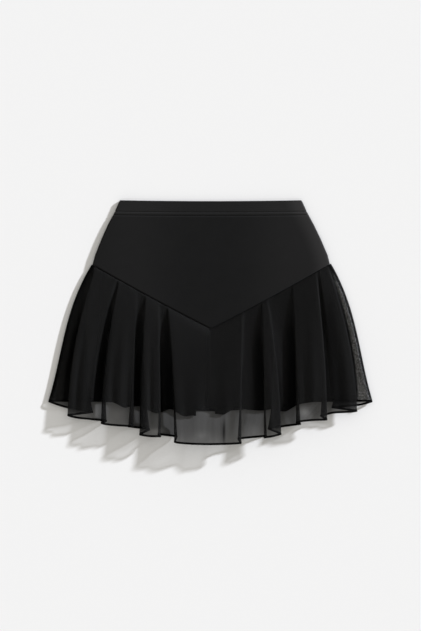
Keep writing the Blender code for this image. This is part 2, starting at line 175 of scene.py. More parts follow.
# The inner shorts, one row for each leg
Leg = namedtuple("Leg", "name side waist_out seam_out hem_out hem_out_y hem_in hem_in_y")
LEGS = (
    Leg("shorts_left", -1, 152.0, 179.0, 195.7, -131.3, 24.0, -156.8),
    Leg("shorts_right", 1, 153.0, 182.0, 202.2, -130.2, 7.7, -153.5),
)
CROTCH = (-4.0, -90.0)
PARTING = (-8.0, -142.0)
LEG_CURVE = 6.0
LEG_TOP = 2.0  # room between the legs and the waistband
LEG_ROWS = 60  # closer towards the hem, by this power
LEG_ROWS_POWER = 1.7
LEG_TURNS = 11
WAVE_POWER = 6  # how fast the hem's waves fade upwards
SKIRT_EASE = 14.0
HEM_MARGIN = 16.0
SIDE_MARGIN = 3.0

# The waistband's top corners are rounded by CORNER_ROUND in x over the depth BAND_CORNER
CORNER_ROUND = 1.2
BAND_CORNER = 2.5
BAND_STITCH = 2.6
BAND_COLUMNS = 121
BAND_ROWS = 60
BAND_TURNS = 15

# Low relief across the waistband: how far below the waist, how wide and how high
Relief = namedtuple("Relief", "depth width rise")
GROOVE = Relief(18.8, 0.9, -0.7)  # where the lower stitching pulls it in
RIDGE = Relief(21.6, 1.3, 0.25)
DIP = Relief(22.6, 1.9, -0.5)  # down into its seam
RIBS = Relief(17.0, 3.4, 0.05)  # faint rows along the elastic, down to this depth

# Painted highlight on the jersey, where the low light falls on its sides: from where on, over
# which width and how much
PaintedLight = namedtuple("PaintedLight", "start width much")
LIGHT_LEFT = PaintedLight(30.0, 100.0, 0.16)
LIGHT_RIGHT = PaintedLight(30.0, 120.0, 0.24)
LIGHT_EDGE = PaintedLight(-34.0, 34.0, 0.76)  # counted from the right side

# A crease that runs down a flute's crest. top_part and hem_part: how far across the crest it starts
# and ends, from 0 on the left to 1 on the right; start and full: share of the fall where it begins
# and where it has its whole depth; width: half its width at the hem; depth: above 0 for a ridge.
Crease = namedtuple("Crease", "flute top_part hem_part start full width depth")
CREASES = (
    Crease("outer_left", 0.30, 0.24, 0.30, 0.80, 6.0, -1.3),
    Crease("outer_left", 0.55, 0.62, 0.15, 0.70, 9.0, 1.1),
    Crease("inner_left", 0.22, 0.30, 0.40, 0.90, 5.0, -1.5),
    Crease("inner_left", 0.60, 0.55, 0.12, 0.60, 8.0, 1.4),
    Crease("inner_left", 0.80, 0.86, 0.55, 1.00, 4.5, -1.2),
    Crease("left_of_middle", 0.45, 0.52, 0.20, 0.75, 5.0, -1.6),
    Crease("middle", 0.12, 0.16, 0.35, 0.90, 7.0, -1.4),
    Crease("middle", 0.33, 0.38, 0.20, 0.85, 10.0, 1.3),
    Crease("middle", 0.50, 0.52, 0.50, 1.00, 11.0, -5.0),
    Crease("middle", 0.66, 0.66, 0.10, 0.70, 8.0, -1.2),
    Crease("middle", 0.80, 0.81, 0.45, 1.00, 5.0, 1.6),
    Crease("right_of_middle", 0.40, 0.46, 0.30, 0.85, 5.0, 1.3),
    Crease("inner_right", 0.30, 0.22, 0.35, 0.90, 6.0, -1.4),
    Crease("inner_right", 0.62, 0.58, 0.15, 0.70, 8.0, 1.2),
    Crease("outer_right", 0.35, 0.30, 0.40, 0.90, 6.0, -1.2),
    Crease("outer_right", 0.66, 0.72, 0.20, 0.75, 7.0, 1.0),
)

# A wave of a leg's hem: x is where, drop how much lower it hangs, width its half width
HemWave = namedtuple("HemWave", "x drop width")
SHORTS_WAVES = (
    HemWave(-171.0, -3.5, 12.0),
    HemWave(-144.0, 4.2, 9.0),
    HemWave(-118.0, -2.0, 8.0),
    HemWave(-92.0, 5.5, 12.0),
    HemWave(-66.0, -5.0, 9.0),
    HemWave(-43.0, 3.6, 9.0),
    HemWave(22.0, 3.2, 8.0),
    HemWave(44.0, -5.5, 13.0),
    HemWave(88.0, 4.0, 16.0),
    HemWave(124.0, 10.0, 16.0),
)

# Rolled hems and side seams of the flounce: half width in the cloth and half height
HEM_HALF = (1.8, 0.55)
SIDE_SEAM_HALF = (1.0, 0.5)
CORD_HALF = (0.85, 0.3)  # the overlocked edge that shows in the yoke's seam
HEM_STITCH = 2.4  # a stitch pulls the roll in this often, by this share
HEM_PULL = 0.10
ROLL_SIDES = 8
ROLL_END = 0.3
ROLL_CAP = np.array(((0, 1, 2, 3), (0, 3, 4, 7), (4, 5, 6, 7)))  # an end's eight points as quads

# A stitch of sewing thread: its radius, the share of the pitch between two, and its height
THREAD_RADIUS = 0.22
STITCH_BREAK = 0.25
STITCH_LIFT = 0.6
STITCH_END = 0.02  # square of the share of its radius at its ends
STITCH_CUTS = 6
STITCH_SIDES = 5

# The V seam lies in a ditch: the yoke's edge turns down into it and the flounce starts low in it
DITCH = 1.0
YOKE_DITCH_RUN = 2.2
FLOUNCE_DITCH_RUN = 2.6

# The yokes reach under the band: so far up, so much lower, and back in their place after this run
TUCK_UP = 1.0
TUCK_DOWN = 1.85
TUCK_RUN = 3.5

# Painted shade: a valley's colour darkens with the slope up to the crest beside it, from this slope
# on, to black after this much more. The crest on its right, on the side of the light, counts whole,
# the left one in part.
VALLEY_SLOPE = (0.6, 1.1)
LEFT_SHARE = 0.35
NEAREST = 3.0  # slopes are taken over at least this distance
VALLEY_REACH = 60
VALLEY_FALL = (0.14, 0.4)  # where it fades in, as shares of the way down the rows
VALLEY_END = (-2.0, 3.0)  # where it ends, from the edge of the inner right flute
BELOW_CREST = (1.0, 4.0)  # how far a point lies under the crest on its right
OFF_SIDE = (8.0, 10.0)  # the flat sides stay without it
STRIP_LIGHT = 0.8  # and the sheer strip loses this share of it

# Places where the sheer edge is stretched thin over a fold and lets more light through
Spot = namedtuple("Spot", "x y wide high sheer")
SPOTS = (
    Spot(156.0, -149.0, 7.0, 6.5, 0.26),
    Spot(73.0, -182.0, 8.0, 8.0, 0.07),
    Spot(62.0, -160.0, 10.0, 9.0, -0.06),
    Spot(176.0, -152.0, 8.0, 12.0, -0.08),
    Spot(46.0, -180.0, 5.0, 16.0, 0.03),
    Spot(22.0, -182.0, 2.8, 22.0, -0.26),
    Spot(-14.0, -189.0, 10.0, 6.0, 0.09),
    Spot(8.0, -176.0, 12.0, 14.0, -0.05),
    Spot(-35.0, -178.0, 26.0, 26.0, -0.05),
    Spot(-88.0, -182.0, 9.0, 4.5, 0.20),
    Spot(-161.0, -153.0, 15.0, 12.0, 0.14),
    Spot(-217.0, -154.5, 20.0, 3.4, 0.22),
    Spot(224.0, -149.0, 16.0, 2.6, 0.22),
    Spot(-190.0, -148.0, 5.0, 12.0, 0.14),
)

# The sheer strip along the right side: its width, where it starts outside the last flute and down
# the fall, how much more light it lets through, and a little more at the hem. Its cloth is
# crinkled: its cover changes by CRINKLE from place to place.
STRIP_WIDTH = 30.0
STRIP_EDGE = (0.0, 3.0)
STRIP_FALL = (0.03, 0.12)
STRIP_SHEER = 0.34
STRIP_HEM_SHEER = 0.01
STRIP_HEM = (0.6, 0.35)
CRINKLE = 0.3

# Where the flounce lies doubled, over the outer flutes and along its side seams, it is denser by
# these shares of light. The left share is smaller at the hem, and all fade out over HEM_FREE.
OUTER_LEFT = (165.0, 12.0)  # from the middle outwards
OUTER_RIGHT = (170.0, 12.0)
DENSE_LEFT = 0.10
DENSE_LEFT_LESS = 0.06
DENSE_LEFT_HEM = (0.7, 0.2)
DENSE_RIGHT = 0.18
DENSE_SEAM = 0.21
HEM_FREE = 0.06
# Along the side seams the cloth is dense, and its colour dark: the seam's own dark and painted
# shade on the fold there
SIDE_DENSE = 6.5  # the cloth is dense over this width along its side seams
SIDE_DARK = 8.0  # and dark over this one, to black at the seam's own width
SEAM_WIDTH = 3.0

# Painted shade, deeper than the slopes give: from top_x, top_y down to hem_x, hem_y, left and
# right half widths at the hem, and how dark. under is 1 where it falls only on cloth that lies
# below the crests.
Shade = namedtuple("Shade", "top_x top_y hem_x hem_y left right depth under")
SHADES = (
    Shade(-162.0, 50.0, -187.5, -130.0, 17.0, 10.0, 0.75, 0),
    Shade(-116.5, 40.0, -121.0, -132.0, 12.0, 9.0, 0.75, 0),
    Shade(-75.0, 24.0, -70.0, -135.0, 12.0, 11.0, 0.75, 0),
    Shade(81.0, 4.0, 83.5, -132.0, 13.0, 8.0, 1.0, 1),
    Shade(135.0, 30.0, 136.0, -132.0, 11.0, 9.0, 1.0, 1),
    Shade(195.0, 66.0, 215.0, -150.0, 17.0, 15.0, 0.5, 0),
    Shade(-30.0, 0.0, -10.0, -200.0, 46.0, 46.0, 0.16, 0),
)
SHADE_START = 0.3  # share of its line over which a shade comes in
SHADE_LEAST = 0.1  # its half width where the line starts

# The two arms of the V meet below the point: the valley between them is filled by so much
POINT_FILL = 0.03
POINT_FILL_WIDTH = 30.0
POINT_FILL_RUN = 0.08
FALL_LEAST = 0.01

FLOUNCE_ROWS = 110
FLOUNCE_POWER = 1.5
CURVE_STEPS = 9

# The stage, in metres and degrees. The camera stands so far up that its lens takes in VIEW_HIGH
# at the height of the cloth.
FLOOR_HALF = 4.0
SUN_WIDE = 3.5
SUN_HEADING = 122.0
SUN_COLOUR = (0.975, 1.0, 1.062)
FILL_COLOUR = (1.0, 0.975, 0.92, 1.0)
SENSOR = 24.0
LENS = 135.0
VIEW_MIDDLE = (0.0002, 0.0107)
VIEW_HIGH = 1.0517
CLOTH_HIGH = 0.01


def smooth(value):
    """0 below 0, 1 above 1 and a soft step between them."""
    part = np.clip(value, 0.0, 1.0)
    return part * part * (3.0 - 2.0 * part)


def step(value, start, run):
    """A soft step from 0 to 1 that begins at start and is run long."""
    return smooth((value - start) / run)


def bell(distance, width):
    """A soft bump: exp(-(distance / width)^2)."""
    return np.exp(-((distance / width) ** 2))


def between(start, end, part):
    """The value at a share of the way from start to end."""
    return start + (end - start) * part


def side_x(y, column):
    """The garment's side at height y, left or right, down to the yoke's seam."""
    return np.interp(y, [row.y for row in SIDES], [getattr(row, column) for row in SIDES])


def waist_edge(x, depth):
    """Height of the band's edge that lies depth below the waist: a shallow sag."""
    half = side_x(WAIST_Y - depth, "right")
    return WAIST_Y - depth - BAND_SAG * (1.0 - np.minimum(1.0, (x / half) ** 2))


def point_seam(x):
    """The V seam: rounded at its point, a little steeper towards the sides."""
    far = np.sqrt(x * x + POINT_ROUND**2) - POINT_ROUND
    end = side_x(SEAM_END_Y, "right")
    full = (SEAM_END_Y - POINT_Y) / (end - POINT_ROUND)
    return POINT_Y + far * (POINT_SLOPE + (full - POINT_SLOPE) * far / end)


def back_seam(x):
    """The back yoke's seam: a shallow curve from side to side."""
    part = np.minimum(1.0, np.abs(x) / side_x(SEAM_END_Y, "right"))
    return between(BACK_SEAM_Y, SEAM_END_Y, part**2)


def back_hem(x):
    """The back flounce's hem: lowest in the middle and level from the shorts outwards."""
    part = np.minimum(1.0, np.abs(x) / LEGS[0].hem_out)
    return between(BACK_HEM_Y, BACK_HEM_SIDE_Y, 0.5 * (1.0 - np.cos(math.pi * part)))


def leg_out(leg, y):
    """How far out a leg of the shorts reaches at height y."""
    heights = (leg.hem_out_y, SEAM_END_Y, WAIST_Y - BAND_DEPTH)
    return np.interp(y, heights, (leg.hem_out, leg.seam_out, leg.waist_out))


def leg_hem(leg, reach):
    """Height of a leg's hem at the distance reach from the garment's middle."""
    return np.interp(reach, (leg.hem_in, leg.hem_out), (leg.hem_in_y, leg.hem_out_y))


def rest_height(x, y):
    """Middle of the front cloth where it lies on the layers under it."""
    over_back = smooth((y - back_hem(x) + HEM_MARGIN) / SKIRT_EASE + 1.0)
    height = FLOOR_GAP + CHIFFON / 2 + (JERSEY + LAYER_GAP) * over_back
    for leg in LEGS:
        reach = x * leg.side
        inside = smooth((leg_out(leg, y) - reach + SIDE_MARGIN) / SKIRT_EASE + 1.0)
        above = smooth((y - leg_hem(leg, reach) + HEM_MARGIN) / SKIRT_EASE + 1.0)
        height = height + 2.0 * (SHORTS + LAYER_GAP) * inside * above * (reach > 0.0)
    return height


def yoke_fall(y):
    """Share of the way from the waistband down to the ends of the yoke's seam."""
    waist = WAIST_Y - BAND_DEPTH
    return np.clip((waist - y) / (waist - SEAM_END_Y), 0.0, 1.0)


def loop_height(y):
    """Height of the whole garment at its sides: the band's, then growing to the flounce's."""
    return between(BAND_HEIGHT, SIDE_HEIGHT, smooth(yoke_fall(y) / LOOP_RUN))


def side_turn(from_edge, y, thick=JERSEY_THICK):
    """Half height of the side's fold at a distance inside the cloth's outermost line."""
    radius = (loop_height(y) - thick) / 2
    inside = np.clip(from_edge / radius, 0.0, 1.0)
    return radius * np.sqrt(1.0 - (1.0 - inside) ** 2)


def from_side(x, y):
    """Distance from a point to the outermost line of the yoke's cloth."""
    return np.minimum(x - side_x(y, "left"), side_x(y, "right") - x) - JERSEY_THICK / 2


def yoke_height(x, y):
    """Middle of the front yoke: crowned, rounded down to the sides and turned under there."""
    edge = from_side(x, y)
    fall = yoke_fall(y)
    part = 1.0 - np.clip(edge / between(ROLL_WAIST, ROLL_SEAM, fall), 0.0, 1.0)
    return loop_height(y) / 2 + side_turn(edge, y) + YOKE_CROWN * fall * (1.0 - part**2)


def yoke_back_height(x, y):
    """Middle of the back yoke: flat on the floor and turned up at the sides."""
    return loop_height(y) / 2 - side_turn(from_side(x, y), y)


# Meshes


def unit(vectors):
    """The vectors, each one long."""
    return vectors / np.maximum(np.linalg.norm(vectors, axis=-1, keepdims=True), 1e-12)


def normals(grid, ring=False):
    """Unit normals of a grid of points: the cross product of its steps down and across."""
    if ring:
        across = np.roll(grid, -1, axis=1) - np.roll(grid, 1, axis=1)
    else:
        across = np.gradient(grid, axis=1)
    return unit(np.cross(np.gradient(grid, axis=0), across))


def closed(index):
    """Rows of point numbers that end with their first one again."""
    return np.concatenate([index, index[..., :1]], axis=-1)


def quads(index):
    """Quads of a grid of point numbers, counter-clockwise when rows run down and columns right."""
    above, below = index[..., :-1, :], index[..., 1:, :]
    corners = (below[..., :-1], below[..., 1:], above[..., 1:], above[..., :-1])
    return np.stack(corners, axis=-1).reshape(-1, 4)


def joined(first, second):
    """Quads between two equal rows of point numbers."""
    return np.stack((first[:-1], second[:-1], second[1:], first[1:]), axis=-1)


def lengths(points, axis=0):
    """Length along each line of points in one direction of a grid: the sum of its steps so far."""
    steps = np.linalg.norm(np.diff(points, axis=axis), axis=-1)
    return np.insert(np.cumsum(steps, axis=axis), 0, 0.0, axis=axis)


def run_lengths(grid):
    """Lengths along the cloth: across each row from its middle column, and down each column."""
    across = lengths(grid, axis=1)
    return across - across[:, grid.shape[1] // 2][:, None], lengths(grid)


def put_object(name, data):
    """An object at the origin with that mesh, light or camera."""
    item = bpy.data.objects.new(name, data)
    bpy.context.scene.collection.objects.link(item)
    return item


def put_mesh(name, points, faces, material, cloth_uv=None, marks=None):
    """A piece from points in millimetres and faces, with the cloth's own lengths as its UV.

    marks are the values for each point that the materials read as attributes of those names.
    """
    mesh = bpy.data.meshes.new(name)
    mesh.from_pydata((points * MM).tolist(), [], faces.tolist())
    if cloth_uv is not None:
        layer = mesh.uv_layers.new(name="cloth")
        corner = np.empty(len(mesh.loops), np.int32)
        mesh.loops.foreach_get("vertex_index", corner)
        layer.data.foreach_set("uv", (cloth_uv[corner] * MM).astype(np.float32).ravel())
    for mark, values in (marks or {}).items():
        layer = mesh.attributes.new(mark, "FLOAT", "POINT")
        layer.data.foreach_set("value", values.astype(np.float32))
    mesh.materials.append(material)
    mesh.shade_smooth()
    piece = put_object(name, mesh)
    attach(piece, "root")
    return piece


def put_shell(name, grid, thickness, material, ring=False, **marks):
    """A closed shell round a grid of middle points.

    Each side lies half the thickness off along the normal. Towards the rims that run across, the
    half thickness shrinks as a circle's does, so the edges are round like a turned edge.
    """
    across, down = run_lengths(grid)
    from_rim = np.minimum(down, down[-1] - down)
    if not ring:
        reach = across - across[:, :1]
        from_rim = np.minimum(from_rim, np.minimum(reach, reach[:, -1:] - reach))
    part = np.clip(from_rim / (thickness / 2), 0.0, 1.0)
    half = thickness / 2 * np.sqrt(np.maximum(1.0 - (1.0 - part) ** 2, RIM_LEAST))
    shift = normals(grid, ring) * half[:, :, None]
    points = np.concatenate([grid + shift, grid - shift]).reshape(-1, 3)
    index = np.arange(len(points)).reshape(2, *grid.shape[:2])
    front, back = closed(index) if ring else index
    faces = [quads(front), quads(back[:, ::-1])]
    faces += [joined(back[0], front[0]), joined(front[-1], back[-1])]
    if not ring:
        faces += [joined(front[:, 0], back[:, 0]), joined(back[:, -1], front[:, -1])]
    uv = np.tile(np.stack((across, down), axis=-1).reshape(-1, 2), (2, 1))
    marks = {mark: np.tile(values.ravel(), 2) for mark, values in marks.items()}
    return put_mesh(name, points, np.concatenate(faces), material, uv, marks)


def even_path(path, normal, pitch):
    """Points, normals, directions and lengths at even steps along a path."""
    far = lengths(path)
    length = np.linspace(0.0, far[-1], max(3, int(far[-1] / pitch)))
    even, turned = (
        np.stack([np.interp(length, far, line[:, k]) for k in range(3)], axis=-1)
        for line in (path, normal)
    )
    return even, unit(turned), unit(np.gradient(even, axis=0)), length


def put_roll(name, paths, half, material):
    """Rolled edges along paths of (points, normals): an oval carried along, its ends closed.

    The oval is half[0] wide in the cloth and half[1] high, and a stitch pulls it in by the share
    HEM_PULL every HEM_STITCH millimetres: half * (1 - pull * cos(2 pi length / stitch)).
    """
    turn = np.arange(ROLL_SIDES) / ROLL_SIDES * 2.0 * math.pi
    points, faces, uvs, start = [], [], [], 0
    for path, normal in paths:
        path, normal, ahead, length = even_path(path, normal, HEM_STITCH / 3)
        beside = unit(np.cross(ahead, normal))
        up = np.cross(beside, ahead)
        size = 1.0 - HEM_PULL * np.cos(2.0 * math.pi * length / HEM_STITCH)
        size[[0, -1]] *= ROLL_END
        wide = (half[0] * size)[:, None, None] * np.cos(turn)[None, :, None] * beside[:, None, :]
        high = (half[1] * size)[:, None, None] * np.sin(turn)[None, :, None] * up[:, None, :]
        points.append((path[:, None, :] + wide + high).reshape(-1, 3))
        index = start + np.arange(len(points[-1])).reshape(-1, ROLL_SIDES)
        faces += [quads(closed(index)), index[0][::-1][ROLL_CAP], index[-1][ROLL_CAP]]
        uvs.append(np.stack(np.broadcast_arrays(length[:, None], turn[None, :]), -1).reshape(-1, 2))
        start += index.size
    faces = np.concatenate(faces)[:, ::-1]
    return put_mesh(name, np.concatenate(points), faces, material, np.concatenate(uvs))


def put_stitches(name, path, normal, pitch, material):
    """A row of lockstitch along a path: one small spindle for each stitch.

    Along a stitch the thread's radius is radius * sqrt(1 - t^2) and its height off the cloth is
    STITCH_LIFT * radius * (1 - t^2), for t from -1 to 1, so its ends dive into the cloth.
    """
    along = np.linspace(-1.0, 1.0, STITCH_CUTS)
    turn = np.arange(STITCH_SIDES) / STITCH_SIDES * 2.0 * math.pi
    path, normal, ahead, _ = even_path(path, normal, pitch)
    beside = np.cross(ahead, normal)
    size = THREAD_RADIUS * np.sqrt(np.maximum(1.0 - along**2, STITCH_END))
    run = along * pitch * (1 - STITCH_BREAK) / 2
    lift = STITCH_LIFT * THREAD_RADIUS * (1.0 - along**2)
    centre = path[:, None, :] + ahead[:, None, :] * run[None, :, None]
    centre = centre + normal[:, None, :] * lift[None, :, None]
    circle = np.cos(turn)[None, :, None] * beside[:, None, :]
    circle = circle + np.sin(turn)[None, :, None] * normal[:, None, :]
    tube = centre[:, :, None, :] + size[None, :, None, None] * circle[:, None, :, :]
    index = np.arange(tube[..., 0].size).reshape(tube.shape[:3])
    return put_mesh(name, tube.reshape(-1, 3), quads(closed(index))[:, ::-1], material)


# Materials


def linear(colour):
    """An sRGB hex colour such as "#1b1b1c" as linear red, green, blue and 1."""
    parts = [int(colour[k : k + 2], 16) / 255 for k in (1, 3, 5)]
    return (*[c / 12.92 if c <= 0.04045 else ((c + 0.055) / 1.055) ** 2.4 for c in parts], 1.0)


DEEP_BLACK = linear("#030303")


def per(size_mm):
    """Scale of a noise texture whose spots have that size."""
    return 1.0 / (size_mm * MM)


def bands(pitch_mm):
    """Scale of a wave texture whose bands have that pitch: at 1 it is pi / 10."""
    return per(pitch_mm) / 10.0 * math.pi


def add_node(tree, kind, numbered=None, **settings):
    """A new node. Settings name its own attributes or its inputs, numbered gives inputs by number.

    An input takes a value, or is linked where another node's output is given, or the node itself
    for its first one.
    """
    node = tree.nodes.new("ShaderNode" + kind)
    inputs = dict(numbered or {})
    for name, value in settings.items():
        if hasattr(node, name):
            setattr(node, name, value)
        else:
            inputs[name.replace("_", " ")] = value
    for name, value in inputs.items():
        if isinstance(value, bpy.types.Node):
            value = value.outputs[0]
        if isinstance(value, bpy.types.NodeSocket):
            tree.links.new(value, node.inputs[name])
        else:
            node.inputs[name].default_value = value
    return node


def new_material(name):
    """A material without nodes, and its node tree."""
    material = bpy.data.materials.new(name)
    material.use_nodes = True
    material.node_tree.nodes.clear()
    return material, material.node_tree


def finish_with(tree, **sockets):
    """Ends a material's nodes with its Principled shader."""
    shader = add_node(tree, "BsdfPrincipled", **sockets)
    add_node(tree, "OutputMaterial", Surface=shader)


def knit_material(name, dark, light, lit, wale_mm, course_mm, sheen, bump_mm):
    """Matte knit: ribs of stitches down the cloth and fainter rows across, with a soft fuzz.

    The colour goes between two near blacks with a slow mottle, and to a third, lighter one as a
    painted highlight where the low light falls. The bump is wale wave + 0.4 course wave + 0.7 fuzz.
    """
    material, tree = new_material(name)
    cloth = add_node(tree, "UVMap", uv_map="cloth")
    wales, courses = (
        add_node(
            tree, "TexWave", Vector=cloth, bands_direction=way, Scale=bands(pitch),
            Distortion=wander, Detail=2.0, Detail_Scale=1.5,
        ).outputs["Fac"]
        for way, pitch, wander in (("X", wale_mm, 1.2), ("Y", course_mm, 1.6))
    )
    fuzz = add_node(tree, "TexNoise", Vector=cloth, Scale=per(0.8), Detail=4.0)
    mottle = add_node(tree, "TexNoise", Vector=cloth, Scale=per(28.0), Detail=5.0, Roughness=0.65)
    stitch = add_node(tree, "Math", {0: courses, 1: 0.4, 2: wales}, operation="MULTIPLY_ADD")
    height = add_node(tree, "Math", {0: fuzz, 1: 0.7, 2: stitch}, operation="MULTIPLY_ADD")
    bump = add_node(tree, "Bump", Height=height, Distance=bump_mm * MM)
    shade = add_node(tree, "Mix", {0: mottle, 6: dark, 7: light}, data_type="RGBA")
    # Painted highlight: how far the colour goes to the lit one
    tone = add_node(tree, "Attribute", attribute_name="nap").outputs["Fac"]
    nap = add_node(tree, "Mix", {0: tone, 6: shade.outputs[2], 7: lit}, data_type="RGBA")
    finish_with(
        tree, Base_Color=nap.outputs[2], Normal=bump, Roughness=0.85, Specular_IOR_Level=0.10,
        Sheen_Weight=sheen, Sheen_Roughness=0.45, Sheen_Tint=linear("#d8d8dc"),
    )
    return material


def chiffon_material(name, colour, cover, thread_mm):
    """Sheer plain weave: crossing threads cover part of the light, with slubs and fine crimp.

    cover is the share that one layer hides. The threads are drawn a little coarser than the real
    0.25 mm, and their alpha swings about the cover, so that a layer keeps its mean. Where the
    depth mark is set, the colour goes to black and loses its gloss and sheen: painted shade in the
    valleys, and by the side seams the seam's own dark together with painted shade.
    """
    material, tree = new_material(name)
    cloth = add_node(tree, "UVMap", uv_map="cloth")
    across, down = (
        add_node(
            tree, "TexWave", Vector=cloth, bands_direction=way, Scale=bands(thread_mm),
            Distortion=0.6,
        ).outputs["Fac"]
        for way in "XY"
    )
    sheer, crinkle, depth = (
        add_node(tree, "Attribute", attribute_name=mark).outputs["Fac"]
        for mark in ("sheer", "crinkle", "depth")
    )
    streaks = add_node(tree, "Mapping", Vector=cloth, Scale=(1.0, 0.12, 1.0))
    slub = add_node(tree, "TexNoise", Vector=streaks, Scale=per(6.0), Detail=3.0, Roughness=0.5)
    grain = add_node(tree, "TexNoise", Vector=cloth, Scale=per(2.2), Detail=2.0)
    threads = add_node(tree, "Math", {0: across, 1: down}, operation="ADD")
    # The last two take away gloss and sheen as painted shade, where the depth mark is set
    weave, slubs, uneven, specular, sheen = (
        add_node(
            tree, "MapRange", Value=value, From_Min=low, From_Max=high, To_Min=least, To_Max=most
        )
        for value, low, high, least, most in (
            (threads, 0.0, 2.0, cover - 0.09, cover + 0.07),
            (slub, 0.3, 0.7, -0.02, 0.02),
            (grain, 0.35, 0.65, -CRINKLE, CRINKLE),
            (depth, 0.0, 1.0, 0.08, 0.01),
            (depth, 0.0, 1.0, 0.04, 0.0),
        )
    )
    covered = add_node(tree, "Math", {0: weave, 1: slubs}, operation="ADD")
    crinkled = add_node(
        tree, "Math", {0: crinkle, 1: uneven, 2: covered}, operation="MULTIPLY_ADD"
    )
    alpha = add_node(tree, "Math", {0: crinkled, 1: sheer}, operation="SUBTRACT", use_clamp=True)
    # Painted shade: the colour goes to black where the depth mark is set
    shade = add_node(tree, "Mix", {0: depth, 6: colour, 7: DEEP_BLACK}, data_type="RGBA")
    bump = add_node(tree, "Bump", Height=threads, Distance=0.05 * MM)
    finish_with(
        tree, Base_Color=shade.outputs[2], Specular_IOR_Level=specular, Sheen_Weight=sheen,
        Alpha=alpha, Normal=bump, Roughness=0.6, Sheen_Roughness=0.35,
        Sheen_Tint=linear("#e4e4e8"),
    )
    return material


def plain_material(name, colour, roughness, specular=0.3):
    """One even colour, with a fine grain in its bump."""
    material, tree = new_material(name)
    place = add_node(tree, "TexCoord").outputs["Object"]
    grain = add_node(tree, "TexNoise", Vector=place, Scale=per(0.6), Detail=3.0)
    bump = add_node(tree, "Bump", Height=grain, Distance=0.04 * MM)
    finish_with(
        tree, Base_Color=colour, Normal=bump, Roughness=roughness, Specular_IOR_Level=specular
    )
    return material


def made(name, maker, *args, **settings):
    """The material of that name, made the first time it is asked for."""
    return bpy.data.materials.get(name) or maker(name, *args, **settings)


# Forms of the flounces


def side_spread(fall):
    """How far the flounce's side has swung out at a share of the way down."""
    return fall + SIDE_FLARE * fall * (1.0 - fall) ** 2


def flute_spread(fall):
    """The same for the flutes' folds."""
    return fall + FLUTE_FLARE * fall * (1.0 - fall)


def fold_x(fold, fall):
    """Where the outer fold at a flute's side stands, at a share of the way down."""
    return between(fold.top, fold.edge, flute_spread(fall))


def seam_point(x):
    """Height on the garment and height above the floor of the flounce's top edge at x."""
    y = point_seam(x) - SLANT_GAP
    return y, yoke_height(x, y)


def from_seam(top_x, fall, x, hem, z):
    """A control line from the seam at top_x down to the height hem at x and z, and its top_x.

    It is given without its seam's share, seam * (1 - fall), in height and in z.
    """
    seam_y, seam_z = seam_point(top_x)
    near = 1.0 - fall
    y = between(seam_y, hem, fall) - seam_y * near
    return np.stack(np.broadcast_arrays(x, y, z - seam_z * near, top_x), axis=-1)


def flute_side(flute, side, fall):
    """Control points of one side of a flute on every level, from the valley up to the shoulder.

    A tucked side goes along the floor to the inner fold, back out to the outer fold and over it. A
    plain side only climbs. side is -1 for the left one and 1 for the right one.
    """
    fold = flute.left if side < 0 else flute.right
    edge_x = fold_x(fold, fall)
    rise = fall**FLUTE_RISE
    shoulder = between(seam_point(fold.top)[1], flute.crest - SHOULDER, rise)
    lead = FOLD_LEAD * (1.0 - fall) ** 3
    if fold.tuck:
        power = WIDE_TUCK_POWER if fold.tuck > WIDE_TUCK else TUCK_POWER
        neck_x = edge_x - side * (fold.tuck * fall**power - lead)
    else:
        neck_x = edge_x + side * (FLANK * np.sqrt(fall) + lead)
    neck_top = fold.top + side * FOLD_LEAD
    seam_y, seam_z = seam_point(neck_top)
    low = rest_height(neck_x, between(seam_y, fold.neck_hem, fall)) + fold.lift * fall
    lie = between(seam_z, low, smooth(fall / FLOOR_RUN))
    floor = np.minimum(lie, shoulder - FOLD_ROOM * fall)
    middle = between(floor, shoulder, FOLD_BEND)
    points = [from_seam(neck_top, fall, neck_x, fold.neck_hem, floor)]
    if fold.tuck:
        points.append(from_seam(neck_top, fall, neck_x, fold.neck_hem, middle))
        points.append(from_seam(fold.top, fall, edge_x, fold.hem, middle))
    points.append(from_seam(fold.top, fall, edge_x, fold.hem, shoulder))
    full_top = fold.top - side * FOLD_LEAD
    x = edge_x - side * between(FOLD_LEAD, SHOULDER_RUN, fall)
    z = between(seam_point(full_top)[1], flute.crest, rise)
    points.append(from_seam(full_top, fall, x, (fold.hem + flute.crest_hem) / 2, z))
    return points if side < 0 else points[::-1]


def flute_crest(flute, fall):
    """Control points along a flute's top, between its shoulders."""
    left, right = flute.left, flute.right
    count = max(1, round((right.edge - left.edge) / CREST_SPAN))
    points = []
    for number in range(1, count + 1):
        part = number / (count + 1)
        top_x = between(left.top, right.top, part)
        x = between(top_x, between(left.edge, right.edge, part), flute_spread(fall))
        z = between(seam_point(top_x)[1], flute.crest, fall**FLUTE_RISE)
        points.append(from_seam(top_x, fall, x, flute.crest_hem, z))
    return points


def side_fold(column, fall):
    """Control points of the fold along the flounce's side, from the seam with the back upwards."""
    out = -1.0 if column == "left" else 1.0
    start = side_x(SEAM_END_Y, column) + out * (SIDE_STEP - JERSEY / 2)
    x = between(start, out * CORNER_X, side_spread(fall))
    near = 1.0 - smooth(fall / SIDE_RUN)
    rim = from_seam(start, fall, x, CORNER_Y, SIDE_HEIGHT / 2 + SIDE_GAP / 2 * (1.0 + near))
    top_x = start - out * SIDE_TOP
    z = SIDE_HEIGHT - CHIFFON / 2 - SIDE_TOP * near
    top = from_seam(top_x, fall, x + (top_x - start) * near, CORNER_Y, z)
    return [rim, top] if column == "left" else [top, rim]


def strip_point(row, fall):
    """Control point of a side strip, which lies low on the back flounce."""
    seam_y, seam_z = seam_point(row.top_x)
    x = between(row.top_x, row.hem_x, flute_spread(fall))
    low = rest_height(x, between(seam_y, row.hem_y, fall)) + row.rise * fall
    z = between(seam_z, low, smooth(fall / STRIP_RUN))
    return from_seam(row.top_x, fall, x, row.hem_y, z)


